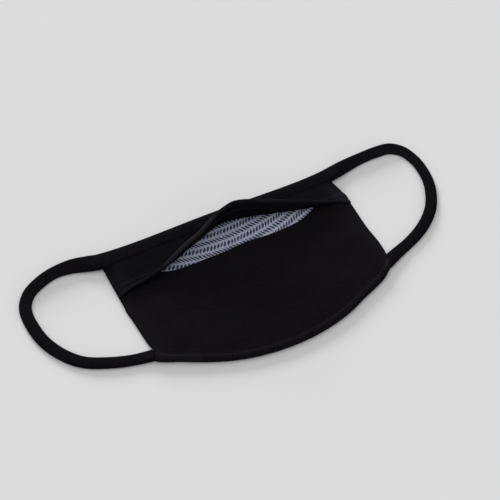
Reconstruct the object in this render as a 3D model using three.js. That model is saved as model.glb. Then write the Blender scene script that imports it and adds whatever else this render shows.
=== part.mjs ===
// A cloth face mask with a pocket, lying flat with the wearer's side up.
// A black jersey shell lies on the surface, a printed cotton layer lies on the shell, and a lining in two
// overlapping panels covers both: the lower panel, and a flap whose free edge is lifted to open the pocket.
// A folded binding holds the nose edge, a folded hem holds the chin edge, and a jersey ear loop joins the two
// at each side.
// Units are millimetres. X runs along the mask, Y from chin to nose, and Z up from the surface.
// The origin is the middle of the mask's body, on the surface.
import * as THREE from "three";

// Outline of the body
const BODY_WIDTH = 208;
const BODY_HEIGHT = 151;
const SIDE_HEIGHT = 115.2;
const NOSE_SLANT = 1.6; // how much lower the nose edge lies at +X than at -X
const NOSE_SAG = 2; // greatest sag of the nose edge, two thirds of the way out to each corner
const CHIN_SLANT = 1.8; // how much the parabola of the chin edge is pushed over to -X

// Cloths and the clearance between them
const SHELL_CLOTH = 1;
const PRINT_CLOTH = 1;
const LINING_CLOTH = 1;
const EDGE_CLOTH = 1; // one leg of the binding or the hem
const LAYER_GAP = 0.3;

// Edges
const BINDING_WIDTH = 11.2;
const HEM_WIDTH = 6.5;
const RISE_LENGTH = 5; // over which the shell climbs onto the lower leg of an edge
const TURNED_EDGE = 2.5; // width of the seam allowance folded under at the sides

// Printed layer
const PRINT_SIDE_INSET = 5; // from the cloth folded under at the sides
const PRINT_CHIN_INSET = 15; // from the hem

// Lower panel of the lining
const POCKET_DIP = 33.8; // from the binding down to the middle of the panel's upper edge
const POCKET_TUCK = 10; // how much higher that edge lies at the ends, under the flap
const POCKET_HALF_LENGTH = 77;
const POCKET_GAPE = 2.2; // how far that edge stands off the printed layer
const LINING_SWELL = 1.6;

// Flap
const FLAP_WIDTH = 33;
const FLAP_HEM = 7;
const FLAP_HEM_CLOTH = 1.8;
const FLAP_CURL = 0.3; // how softly it bends up, as a share of the way from its fold to its free edge

// Ear loops
const STRAP_WIDTH = 9.8;
const STRAP_THICKNESS = 3.2;
const STRAP_LEAN = 40; // degrees by which the strap's face leans towards the chin near its nose end
const STRAP_END = 16; // length over which the strap spreads to its sewn end
const STRAP_END_WIDTH = 9.6; // at the chin; at the nose the strap is as wide as the binding
const STRAP_ROUNDING = 0.6; // 1 is an ellipse in section, and less is squarer
const LOOP_REACH = 74; // from the side edge to the middle of the strap at the end of the loop

// Facets
const LAYER_COLUMNS = 24;
const FLAP_COLUMNS = 34;
const EDGE_COLUMNS = 24;
const SHELL_ROWS = 5;
const PRINT_ROWS = 6;
const LINING_ROWS = 10;
const FLAP_RISE_ROWS = 9;
const FLAP_LYING_ROWS = 4;
const FOLD_FACETS = 6;
const STRAP_STEPS = 40;
const STRAP_SIDES = 12;

// The flap from -X to +X. at is a share of half the body's width; the others, apart from tilt in degrees, are
// shares of the flap's width: lie is how far the cloth lies flat from the binding before it rises, drop how
// far from the binding its free edge ends, and up how high that edge stands. Over 90, tilt leans to the nose.
const FLAP_EDGE = [
  { at: -1.0, lie: 0.95, drop: 1.15, up: 0.0, tilt: 0 },
  { at: -0.83, lie: 0.93, drop: 1.05, up: 0.11, tilt: 55 },
  { at: -0.7, lie: 0.87, drop: 0.96, up: 0.2, tilt: 80 },
  { at: -0.57, lie: 0.74, drop: 0.86, up: 0.31, tilt: 80 },
  { at: -0.38, lie: 0.5, drop: 0.7, up: 0.5, tilt: 77 },
  { at: -0.25, lie: 0.32, drop: 0.57, up: 0.61, tilt: 80 },
  { at: -0.12, lie: 0.14, drop: 0.41, up: 0.71, tilt: 87 },
  { at: 0.0, lie: 0.09, drop: 0.29, up: 0.75, tilt: 93 },
  { at: 0.1, lie: 0.13, drop: 0.23, up: 0.74, tilt: 99 },
  { at: 0.25, lie: 0.23, drop: 0.33, up: 0.67, tilt: 103 },
  { at: 0.4, lie: 0.4, drop: 0.46, up: 0.54, tilt: 103 },
  { at: 0.62, lie: 0.63, drop: 0.65, up: 0.34, tilt: 98 },
  { at: 0.82, lie: 0.77, drop: 0.84, up: 0.18, tilt: 78 },
  { at: 1.0, lie: 0.88, drop: 0.97, up: 0.0, tilt: 0 },
];

// The middle line of each ear loop between its two sewn ends, nose end first. out is a share of the loop's
// reach, and down a share of the distance between the two ends.
const LEFT_LOOP = [
  { out: 0.14, down: -0.02 },
  { out: 0.32, down: -0.05 },
  { out: 0.52, down: -0.05 },
  { out: 0.7, down: -0.015 },
  { out: 0.85, down: 0.06 },
  { out: 0.94, down: 0.17 },
  { out: 0.963, down: 0.33 },
  { out: 0.925, down: 0.52 },
  { out: 0.82, down: 0.69 },
  { out: 0.67, down: 0.82 },
  { out: 0.46, down: 0.905 },
  { out: 0.25, down: 0.96 },
];
const RIGHT_LOOP = [
  { out: 0.12, down: -0.005 },
  { out: 0.27, down: -0.015 },
  { out: 0.49, down: -0.035 },
  { out: 0.7, down: -0.045 },
  { out: 0.88, down: -0.035 },
  { out: 1.0, down: 0.045 },
  { out: 1.045, down: 0.17 },
  { out: 1.035, down: 0.29 },
  { out: 0.99, down: 0.43 },
  { out: 0.9, down: 0.57 },
  { out: 0.76, down: 0.71 },
  { out: 0.55, down: 0.835 },
  { out: 0.32, down: 0.92 },
];

const halfWidth = BODY_WIDTH / 2;
const noseY = BODY_HEIGHT / 2;
const chinY = -BODY_HEIGHT / 2;
const cornerY = noseY - SIDE_HEIGHT;
const bindingMouthY = noseY - BINDING_WIDTH;

// Heights of the layers, from the surface up. The lower leg of each edge lies under the shell, and inside
// the nose binding the shell carries the printed layer and the flap.
const shellLift = EDGE_CLOTH + LAYER_GAP;
const liningUnder = SHELL_CLOTH + 2 * LAYER_GAP + Math.max(PRINT_CLOTH, EDGE_CLOTH);
const liningTop = liningUnder + LINING_CLOTH;
const sewnPrintTop = shellLift + SHELL_CLOTH + LAYER_GAP + PRINT_CLOTH;
const flapUnder = Math.max(liningTop, sewnPrintTop) + LAYER_GAP;
const hemHeight = liningTop + LAYER_GAP + EDGE_CLOTH;
const bindingHeight = flapUnder + LINING_CLOTH + LAYER_GAP + EDGE_CLOTH;

const jersey = new THREE.MeshStandardMaterial({ color: 0x141316, roughness: 0.95, metalness: 0 });
const edging = new THREE.MeshStandardMaterial({ color: 0x17161a, roughness: 0.9, metalness: 0 });
const printed = new THREE.MeshStandardMaterial({ color: 0xcdd3e8, roughness: 0.85, metalness: 0 });

const mix = (a, b, share) => a + (b - a) * share;
const shares = (count) => Array.from({ length: count + 1 }, (_, i) => i / count);
const smooth = (value) => THREE.MathUtils.smoothstep(value, 0, 1);

// A smooth curve through one column of a table whose rows are ordered by at.
function along(table, column, at) {
  let row = table.findIndex((entry) => entry.at >= at);
  row = row < 0 ? table.length - 1 : Math.max(1, row);
  const slope = (i) => {
    const before = table[Math.max(0, i - 1)];
    const after = table[Math.min(table.length - 1, i + 1)];
    return (after[column] - before[column]) / (after.at - before.at);
  };
  const [from, to] = [table[row - 1], table[row]];
  const span = to.at - from.at;
  const t = (at - from.at) / span;
  const held = 1 - t;
  return (
    from[column] * held * held * (1 + 2 * t) +
    slope(row - 1) * span * t * held * held +
    to[column] * t * t * (3 - 2 * t) -
    slope(row) * span * t * t * held
  );
}

// The outline of the body. The nose edge is nearly straight and sags a little on both sides of its middle.
// The chin edge is a parabola, pushed over to one side.
const outward = (x) => (x / halfWidth) ** 2;
const sagShape = (share) => (1 - share) * (1 + 6 * share);
const SAG_PEAK = 5 / 12; // where sagShape is greatest
const noseSag = (x) => (NOSE_SAG * sagShape(outward(x))) / sagShape(SAG_PEAK);
const noseEdge = (x) => noseY - (NOSE_SLANT * x) / BODY_WIDTH - noseSag(x);
const chinPush = (x) => CHIN_SLANT * (x / halfWidth) * (1 - outward(x));
const chinEdge = (x) => mix(chinY, cornerY, outward(x)) + chinPush(x);
const hemMouth = (x) => chinEdge(x) + HEM_WIDTH;

// The cloths inside a fold end where its round part begins.
const chinClothEdge = (x) => chinEdge(x) + hemHeight / 2;
const noseClothEdge = (x) => noseEdge(x) - bindingHeight / 2;

// Upper edge of the lining's lower panel: it dips in the middle and tucks under the flap at the ends.
function pocketEdge(x) {
  const share = Math.min(1, Math.abs(x) / POCKET_HALF_LENGTH);
  return bindingMouthY - POCKET_DIP + POCKET_TUCK * share ** 6;
}

// The shell lies on the surface, and climbs onto the lower leg of the binding and of the hem.
function shellUnder(x, y) {
  const inward = Math.min(bindingMouthY - y, y - hemMouth(x));
  return shellLift * (1 - smooth(inward / RISE_LENGTH));
}

const shellTop = (x, y) => shellUnder(x, y) + SHELL_CLOTH;

// How far the lower panel stands off the layer below: a soft hump, and the gaping edge of the pocket.
function swell(x, y) {
  const across = Math.cos((Math.PI * x) / BODY_WIDTH);
  const mouth = bindingMouthY - POCKET_DIP;
  const up = THREE.MathUtils.clamp((y - hemMouth(x)) / (mouth - hemMouth(x)), 0, 1);
  const hump = LINING_SWELL * across * Math.sin(Math.PI * up) ** 2;
  return hump + POCKET_GAPE * smooth(1 - Math.abs(x) / POCKET_HALF_LENGTH) * up ** 4;
}

// Places across the body: even steps, and two more columns at each side edge for its turned cloth.
const turnedFrom = halfWidth - TURNED_EDGE;
const evenTo = turnedFrom - TURNED_EDGE;
const isTurned = (x) => Math.abs(x) > (turnedFrom + evenTo) / 2;

function bodyColumns(count) {
  const middle = shares(count).map((share) => mix(-evenTo, evenTo, share));
  return [-halfWidth, -turnedFrom, ...middle, turnedFrom, halfWidth];
}

// A closed solid through rings of points. Each ring is the lower row of a wall and then its upper row
// backwards, anticlockwise seen from ahead, so the rungs between the two rows close both ends.
function loft(rings) {
  const size = rings[0].length;
  const positions = rings.flat().flatMap((point) => [point.x, point.y, point.z]);
  const faces = [];
  for (let ring = 0; ring < rings.length - 1; ring++) {
    for (let k = 0; k < size; k++) {
      const [a, b] = [ring * size + k, ring * size + ((k + 1) % size)];
      faces.push(a, b, a + size, b, b + size, a + size);
    }
  }
  const last = (rings.length - 1) * size;
  for (let k = 0; k < size / 2 - 1; k++) {
    const [near, next, far, beyond] = [k, k + 1, size - 2 - k, size - 1 - k];
    faces.push(near, far, next, near, beyond, far);
    faces.push(last + near, last + next, last + far, last + near, last + far, last + beyond);
  }
  const geometry = new THREE.BufferGeometry();
  geometry.setAttribute("position", new THREE.Float32BufferAttribute(positions, 3));
  geometry.setIndex(faces);
  geometry.computeVertexNormals();
  return geometry;
}

// A cloth layer across the body. places(x) gives its y values from chin to nose.
function layer(columns, places, under, top) {
  return loft(
    columns.map((x) => {
      const ys = places(x);
      const lower = ys.map((y) => new THREE.Vector3(x, y, under(x, y)));
      const upper = ys.map((y) => new THREE.Vector3(x, y, top(x, y)));
      return [...lower, ...upper.reverse()];
    }),
  );
}

function shellLayer() {
  const halfRise = RISE_LENGTH / 2;
  const places = (x) => {
    const [low, high] = [hemMouth(x) + RISE_LENGTH, bindingMouthY - RISE_LENGTH];
    const middle = shares(SHELL_ROWS).map((share) => mix(low, high, share));
    const below = [chinClothEdge(x), hemMouth(x), low - halfRise];
    return [...below, ...middle, high + halfRise, bindingMouthY, noseClothEdge(x)];
  };
  return layer(bodyColumns(LAYER_COLUMNS), places, shellUnder, shellTop);
}

function printLayer() {
  const side = evenTo - PRINT_SIDE_INSET;
  const columns = shares(LAYER_COLUMNS).map((share) => mix(-side, side, share));
  const places = (x) => {
    const [low, high] = [hemMouth(x) + PRINT_CHIN_INSET, bindingMouthY - RISE_LENGTH];
    const climb = [bindingMouthY - RISE_LENGTH / 2, bindingMouthY, noseClothEdge(x)];
    return [...shares(PRINT_ROWS).map((share) => mix(low, high, share)), ...climb];
  };
  const under = (x, y) => shellTop(x, y) + LAYER_GAP;
  return layer(columns, places, under, (x, y) => under(x, y) + PRINT_CLOTH);
}

// At its side edges the lower panel is folded under, down to the shell.
function liningLayer() {
  const places = (x) => {
    const up = shares(LINING_ROWS).map((share) => mix(hemMouth(x), pocketEdge(x), share));
    return [chinClothEdge(x), ...up];
  };
  const under = (x, y) => (isTurned(x) ? shellTop(x, y) + LAYER_GAP : liningUnder + swell(x, y));
  const top = (x, y) => liningTop + swell(x, y);
  return layer(bodyColumns(LAYER_COLUMNS), places, under, top);
}

// The flap's under side at one x, from the free edge back to the binding and on into it.
function flapProfile(x) {
  const at = x / halfWidth;
  const read = (column) => along(FLAP_EDGE, column, at);
  const tilt = THREE.MathUtils.degToRad(read("tilt"));
  const edge = new THREE.Vector2(
    bindingMouthY - read("drop") * FLAP_WIDTH,
    flapUnder + Math.max(0, read("up")) * FLAP_WIDTH,
  );
  const root = new THREE.Vector2(bindingMouthY, flapUnder);
  const fold = new THREE.Vector2(root.x - read("lie") * FLAP_WIDTH, flapUnder);
  const handle = FLAP_CURL * fold.distanceTo(edge);
  const arrive = edge.clone().add(new THREE.Vector2(handle * Math.cos(tilt), -handle * Math.sin(tilt)));
  const leave = new THREE.Vector2(fold.x - handle, flapUnder);
  const rise = new THREE.CubicBezierCurve(edge, arrive, leave, fold);
  const lying = shares(FLAP_LYING_ROWS).slice(1).map((share) => fold.clone().lerp(root, share));
  const sewnEdge = new THREE.Vector2(noseClothEdge(x), flapUnder);
  return [...rise.getPoints(FLAP_RISE_ROWS), ...lying, sewnEdge];
}

// At its side edges the flap is folded under too, down to the shell above the lower panel's end.
function flapLayer() {
  const wall = (length) => mix(FLAP_HEM_CLOTH, LINING_CLOTH, smooth((length - FLAP_HEM) / TURNED_EDGE));
  return loft(
    bodyColumns(FLAP_COLUMNS).map((x) => {
      const profile = flapProfile(x);
      let length = 0;
      const upper = profile.map((point, i) => {
        const before = profile[Math.max(0, i - 1)];
        const after = profile[Math.min(profile.length - 1, i + 1)];
        const tangent = after.clone().sub(before).normalize();
        length += i ? point.distanceTo(before) : 0;
        const raised = wall(length);
        return new THREE.Vector3(x, point.x - tangent.y * raised, point.y + tangent.x * raised);
      });
      const lower = profile.map((point, i) => {
        const clearOfLining = i > 0 && profile[i - 1].x > pocketEdge(x) + LAYER_GAP;
        const down = isTurned(x) && clearOfLining ? shellTop(x, point.x) + LAYER_GAP : point.y;
        return new THREE.Vector3(x, point.x, down);
      });
      return [...lower, ...upper.reverse()];
    }),
  );
}

// A strip folded over a cloth edge: two legs and a round fold. mouth(x) and fold(x) give the y of the leg
// ends and of the outside of the fold.
function foldedStrip(mouth, fold, height) {
  const columns = shares(EDGE_COLUMNS).map((share) => mix(-halfWidth, halfWidth, share));
  const foldRadius = height / 2;
  const arc = shares(FOLD_FACETS).map((share) => mix(-Math.PI / 2, Math.PI / 2, share));
  return loft(
    columns.map((x) => {
      const way = Math.sign(fold(x) - mouth(x));
      const row = (radius) => {
        const bend = arc.map((angle) => {
          const y = fold(x) - way * foldRadius + way * radius * Math.cos(angle);
          return new THREE.Vector3(x, y, foldRadius + way * radius * Math.sin(angle));
        });
        const leg = (z) => new THREE.Vector3(x, mouth(x), z);
        return [leg(foldRadius - way * radius), ...bend, leg(foldRadius + way * radius)];
      };
      return [...row(foldRadius), ...row(foldRadius - EDGE_CLOTH).reverse()];
    }),
  );
}

// One ear loop as a flat strap, side -1 at -X and 1 at +X. It leans towards the chin, less and less from
// its nose end to its chin end. At both sewn ends it lies flat and spreads to the width of its edge.
function earLoop(side, table) {
  const endX = halfWidth + LAYER_GAP;
  const upperEnd = (bindingMouthY + noseEdge(side * halfWidth)) / 2;
  const lowerEnd = cornerY + STRAP_END_WIDTH / 2;
  const place = ({ out, down }) =>
    new THREE.Vector3(side * (endX + out * LOOP_REACH), mix(upperEnd, lowerEnd, down), 0);
  const [from, to] = [place({ out: 0, down: 0 }), place({ out: 0, down: 1 })];
  const path = new THREE.CatmullRomCurve3([from, ...table.map(place), to]);
  const total = path.getLength();
  const noseEnd = [noseEdge(side * halfWidth) - bindingMouthY, bindingHeight];
  const chinEnd = [STRAP_END_WIDTH, hemHeight];
  const angles = shares(STRAP_SIDES - 1).map(
    (share) => Math.PI + (0.5 + share * (STRAP_SIDES - 1)) * ((2 * Math.PI) / STRAP_SIDES),
  );
  const rings = shares(STRAP_STEPS).map((share) => {
    const fromEnd = Math.min(share, 1 - share) * total;
    const free = smooth(fromEnd / STRAP_END);
    const ahead = path.getTangentAt(share);
    if (fromEnd === 0) ahead.set(Math.sign(ahead.x), 0, 0);
    const lean = THREE.MathUtils.degToRad(STRAP_LEAN) * free * (1 - smooth(share));
    const facing = new THREE.Vector3(0, -Math.sin(lean), Math.cos(lean));
    const up = facing.addScaledVector(ahead, -facing.dot(ahead)).normalize();
    const across = new THREE.Vector3().crossVectors(up, ahead);
    const [endWidth, endHeight] = share < 0.5 ? noseEnd : chinEnd;
    const halfStrap = mix(endWidth, STRAP_WIDTH, free) / 2;
    const halfThick = mix(endHeight, STRAP_THICKNESS, free) / 2;
    const rounded = (value) => Math.sign(value) * Math.abs(value) ** STRAP_ROUNDING;
    const ring = angles.map((angle) =>
      path
        .getPointAt(share)
        .addScaledVector(across, halfStrap * rounded(Math.cos(angle)))
        .addScaledVector(up, halfThick * rounded(Math.sin(angle))),
    );
    const lowest = Math.min(...ring.map((point) => point.z));
    ring.forEach((point) => (point.z -= lowest));
    return ring;
  });
  return loft(rings);
}

const mask = new THREE.Group();
const pieces = {
  outer_shell: [shellLayer(), jersey],
  printed_layer: [printLayer(), printed],
  lower_lining: [liningLayer(), jersey],
  pocket_flap: [flapLayer(), jersey],
  nose_binding: [foldedStrip(() => bindingMouthY, noseEdge, bindingHeight), edging],
  chin_hem: [foldedStrip(hemMouth, chinEdge, hemHeight), edging],
  ear_loop_left: [earLoop(-1, LEFT_LOOP), edging],
  ear_loop_right: [earLoop(1, RIGHT_LOOP), edging],
};
for (const [name, [geometry, material]] of Object.entries(pieces)) {
  const mesh = new THREE.Mesh(geometry, material);
  mesh.name = name;
  mask.add(mesh);
}

export default mask;
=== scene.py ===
"""A black cloth face mask with a pocket, lying with the wearer's side up.

Each cloth is a closed sheet round a middle surface, which is a function of two lengths: x along the mask, and
the way along the cloth from its chin side to its nose side. Each ear loop is a section carried along a curve.
The frame gives the outline, and the tables of the flap and of the loops give their lie as shares of it.
"""

import bpy
import numpy as np
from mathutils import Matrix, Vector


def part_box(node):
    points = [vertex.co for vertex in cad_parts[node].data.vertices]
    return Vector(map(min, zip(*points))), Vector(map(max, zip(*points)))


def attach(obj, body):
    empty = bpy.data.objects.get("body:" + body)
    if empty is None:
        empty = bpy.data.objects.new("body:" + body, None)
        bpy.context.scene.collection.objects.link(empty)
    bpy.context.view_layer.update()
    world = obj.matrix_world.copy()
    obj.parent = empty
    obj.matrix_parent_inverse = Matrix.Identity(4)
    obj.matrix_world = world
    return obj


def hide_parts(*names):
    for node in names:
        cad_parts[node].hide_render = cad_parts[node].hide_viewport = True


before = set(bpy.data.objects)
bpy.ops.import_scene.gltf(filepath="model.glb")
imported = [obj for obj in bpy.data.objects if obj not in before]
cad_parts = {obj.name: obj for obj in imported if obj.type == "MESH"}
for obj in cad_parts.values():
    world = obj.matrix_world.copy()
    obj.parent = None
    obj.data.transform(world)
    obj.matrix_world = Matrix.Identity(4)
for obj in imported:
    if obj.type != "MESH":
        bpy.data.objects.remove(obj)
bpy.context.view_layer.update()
mm = 0.001

# The outer shell: the front of the mask, one piece of black jersey that lies face down on the surface.
# Its nose and chin edges are sewn into two folded bands, so it climbs onto the lower leg of each.
NOSE_SLANT = 1.6 * mm
NOSE_SAG = 2 * mm
SAG_PEAK = 5 / 12
CHIN_SLANT = 1.8 * mm
HEM_WIDTH = 6.5 * mm
BAND_OVER = 3.3 * mm
EDGE_CLOTH = 0.9 * mm
SHELL_CLOTH = 0.8 * mm
SHELL_LENGTH = 146 * mm
SHELL_LIFT = 1.15 * mm
SHELL_LOOSE = 0.12 * mm
SHELL_WAVE_SHARE = 0.12
RISE_LENGTH = 5 * mm
BAND_TURN = 2.9 * mm
HEM_TURN = 3.2 * mm
band_box, hem_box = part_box("nose_binding"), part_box("chin_hem")
half_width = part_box("outer_shell")[1].x
nose_y = band_box[1].y - NOSE_SLANT / 2
band_mouth_y = band_box[0].y
band_inner_y = band_mouth_y - BAND_OVER
chin_y = hem_box[0].y
corner_y = hem_box[1].y - HEM_WIDTH

# How the two side edges stray from straight: each row is a bell round one place on the left edge, side -1, or
# on the right edge, side 1. out is away from the body, and down towards the chin.
STRAY_INWARD = 26 * mm
STRAY_OUTWARD = 20 * mm
SIDE_STRAY = [
    {"side": -1, "at": 24 * mm, "reach": 55 * mm, "out": 1.9 * mm, "down": 0},
    {"side": -1, "at": 12 * mm, "reach": 6 * mm, "out": 0.7 * mm, "down": 0},
    {"side": 1, "at": 43 * mm, "reach": 14 * mm, "out": 2.4 * mm, "down": 0},
    {"side": -1, "at": -34 * mm, "reach": 9 * mm, "out": -0.8 * mm, "down": 0},
    {"side": 1, "at": 25 * mm, "reach": 8 * mm, "out": 0.5 * mm, "down": 0},
    {"side": 1, "at": -1 * mm, "reach": 11 * mm, "out": -1.0 * mm, "down": 0},
    {"side": 1, "at": -29 * mm, "reach": 16 * mm, "out": -1.6 * mm, "down": 0},
    {"side": 1, "at": -42 * mm, "reach": 9 * mm, "out": -7.2 * mm, "down": 5 * mm},
    {"side": -1, "at": -30 * mm, "reach": 5 * mm, "out": -0.8 * mm, "down": 0},
    {"side": -1, "at": -42 * mm, "reach": 6 * mm, "out": 3.4 * mm, "down": 0},
]
# How the chin edge strays, in the same way: at is a place along x.
CHIN_STRAY = [
    {"at": -52 * mm, "reach": 22 * mm, "out": 0.5 * mm},
    {"at": 61 * mm, "reach": 11 * mm, "out": -0.9 * mm},
    {"at": 86 * mm, "reach": 9 * mm, "out": 0.9 * mm},
]
# Slow waves of loose jersey: the length of each wave, the way it runs in degrees, its start and its height.
SLOW_WAVES = [
    {"length": 83 * mm, "turn": 20, "start": 0.4, "height": 0.30 * mm},
    {"length": 57 * mm, "turn": -35, "start": 2.1, "height": 0.22 * mm},
    {"length": 41 * mm, "turn": 70, "start": 4.0, "height": 0.16 * mm},
    {"length": 29 * mm, "turn": 110, "start": 1.3, "height": 0.10 * mm},
    {"length": 19 * mm, "turn": 5, "start": 3.2, "height": 0.06 * mm},
]


def ease(value):
    """From 0 to 1 as value does, level at both ends: 3 t^2 - 2 t^3."""
    t = np.clip(value, 0, 1)
    return t * t * (3 - 2 * t)


def mix(a, b, share):
    return a + (b - a) * share


def bell(way, reach):
    """1 at the middle, and falling off on both sides: exp(-(way / reach)^2)."""
    return np.exp(-((way / reach) ** 2))


def steps(count, length, rim):
    """Shares of a length, evenly spaced, with more inside the last rim at both ends, where an edge turns."""
    near = np.array([0, 0.1, 0.35, 0.65]) * rim / length
    return np.concatenate([near, np.linspace(rim / length, 1 - rim / length, count), 1 - near[::-1]])


def waves(rows, x, y):
    """Sum over the rows of height times the sine of the way along the row's direction."""
    total = 0
    for row in rows:
        turn = np.radians(row["turn"])
        way = (x * np.cos(turn) + y * np.sin(turn)) / row["length"]
        total = total + row["height"] * np.sin(2 * np.pi * way + row["start"])
    return total


def nose_edge(x):
    """A slanting line, less a sag that is greatest two thirds of the way out to each corner: with s as the
    square of the way out, (1 - s)(1 + 6 s) over its greatest value.
    """
    out = (x / half_width) ** 2
    sag = (1 - out) * (1 + 6 * out) / ((1 - SAG_PEAK) * (1 + 6 * SAG_PEAK))
    return nose_y - NOSE_SLANT * x / (2 * half_width) - NOSE_SAG * sag


def chin_edge(x):
    """A parabola from corner to corner, pushed over to the left by a cubic that is 0 at both corners, less
    its straying.
    """
    out = x / half_width
    stray = sum(row["out"] * bell(x - row["at"], row["reach"]) for row in CHIN_STRAY)
    return mix(chin_y, corner_y, out**2) + CHIN_SLANT * out * (1 - out**2) - stray


def hem_mouth(x):
    return chin_edge(x) + HEM_WIDTH


def strayed(x, y, z):
    """Points with the side edges' straying added. It fades inwards, and outwards along the ear loops."""
    beyond = np.abs(x) - half_width
    fade = np.where(beyond < 0, ease(1 + beyond / STRAY_INWARD), ease(1 - beyond / STRAY_OUTWARD))
    out, down = 0 * y, 0 * y
    for row in SIDE_STRAY:
        share = bell(y - row["at"], row["reach"]) * fade * (row["side"] * x > 0)
        out, down = out + row["out"] * share, down + row["down"] * share
    return np.stack([x + np.sign(x) * out, y - down, z + 0 * y], axis=-1)


def facing(surface):
    """Unit normals of a grid of points: the cross product of its two directions."""
    normal = np.cross(np.gradient(surface, axis=0), np.gradient(surface, axis=1))
    return normal / np.linalg.norm(normal, axis=2, keepdims=True)


def run_along(surface, axis):
    """Length run from the first row of a grid of points, along one of its axes."""
    lengths = np.linalg.norm(np.diff(surface, axis=axis), axis=2)
    start = np.zeros_like(np.take(lengths, [0], axis=axis))
    return np.concatenate([start, np.cumsum(lengths, axis=axis)], axis=axis)


def mesh_piece(name, points, faces, plan, material):
    """A smooth mesh on the root body. plan holds the cloth's own coordinates in millimetres."""
    mesh = bpy.data.meshes.new(name)
    mesh.from_pydata(points.tolist(), [], faces)
    corners = np.empty(len(mesh.loops), dtype=np.int32)
    mesh.loops.foreach_get("vertex_index", corners)
    mesh.uv_layers.new(name="cloth").data.foreach_set("uv", (plan / mm)[corners].ravel())
    mesh.polygons.foreach_set("use_smooth", np.ones(len(mesh.polygons), dtype=bool))
    mesh.materials.append(material)
    piece = bpy.data.objects.new(name, mesh)
    bpy.context.scene.collection.objects.link(piece)
    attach(piece, "root")
    return piece


def cloth(name, middle, thick, material, relief=0.0):
    """A closed sheet. Each side lies half the thickness from the middle, along the normal, times a quarter
    circle that brings both sides together at the four borders: sqrt(1 - (1 - reach)^2), where reach is the
    way to the border in half thicknesses, at most 1. relief is what the upper side stands proud.
    """
    half = np.broadcast_to(thick, middle.shape[:2]) / 2
    closing = np.ones_like(half)
    for axis in (0, 1):
        run = run_along(middle, axis)
        to_border = np.minimum(run, np.take(run, [-1], axis=axis) - run)
        closing = closing * np.sqrt(1 - (1 - np.clip(to_border / half, 0, 1)) ** 2)
    normal = facing(middle)
    upper = middle + normal * ((half + relief) * closing)[..., None]
    lower = middle - normal * (half * closing)[..., None]
    rows, columns = half.shape
    top = np.arange(rows * columns).reshape(rows, columns)
    under = top.copy()
    under[1:-1, 1:-1] = rows * columns + np.arange((rows - 2) * (columns - 2)).reshape(rows - 2, -1)
    points = np.concatenate([upper.reshape(-1, 3), lower[1:-1, 1:-1].reshape(-1, 3)])
    plan_grid = np.stack([middle[..., 0], run_along(middle, 1)], axis=2)
    plan = np.concatenate([plan_grid.reshape(-1, 2), plan_grid[1:-1, 1:-1].reshape(-1, 2)])
    corners = [(0, 0), (1, 0), (1, 1), (0, 1)]
    over = [top[a : rows - 1 + a, b : columns - 1 + b] for a, b in corners]
    beneath = [under[a : rows - 1 + a, b : columns - 1 + b] for a, b in reversed(corners)]
    faces = np.concatenate([np.stack(over, axis=2).reshape(-1, 4), np.stack(beneath, axis=2).reshape(-1, 4)])
    return mesh_piece(name, points, faces.tolist(), plan, material)


class Field:
    """A number that varies over a surface. Operators and methods on it add Math nodes."""

    def __init__(self, shader, socket):
        self.shader, self.socket = shader, socket

    def math(self, operation, *values):
        node = self.shader.node("ShaderNodeMath", dict(enumerate(values)), operation=operation)
        return Field(self.shader, node.outputs[0])

    def __add__(self, other):
        return self.math("ADD", self, other)

    def __sub__(self, other):
        return self.math("SUBTRACT", self, other)

    def __rsub__(self, other):
        return self.math("SUBTRACT", other, self)

    def __mul__(self, other):
        return self.math("MULTIPLY", self, other)

    def __truediv__(self, other):
        return self.math("DIVIDE", self, other)

    def __gt__(self, other):
        return self.math("GREATER_THAN", self, other)

    __radd__, __rmul__ = __add__, __mul__

    def sine(self):
        return self.math("SINE", self)

    def floor(self):
        return self.math("FLOOR", self)

    def part(self):
        return self.math("FRACT", self)

    def size(self):
        return self.math("ABSOLUTE", self)

    def least(self, other):
        return self.math("MINIMUM", self, other)

    def ramp(self, start, end):
        """Eases from 0 to 1 between start and end."""
        limits = {"Value": self, "From Min": start, "From Max": end}
        node = self.shader.node("ShaderNodeMapRange", limits, interpolation_type="SMOOTHSTEP")
        return Field(self.shader, node.outputs[0])


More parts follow.
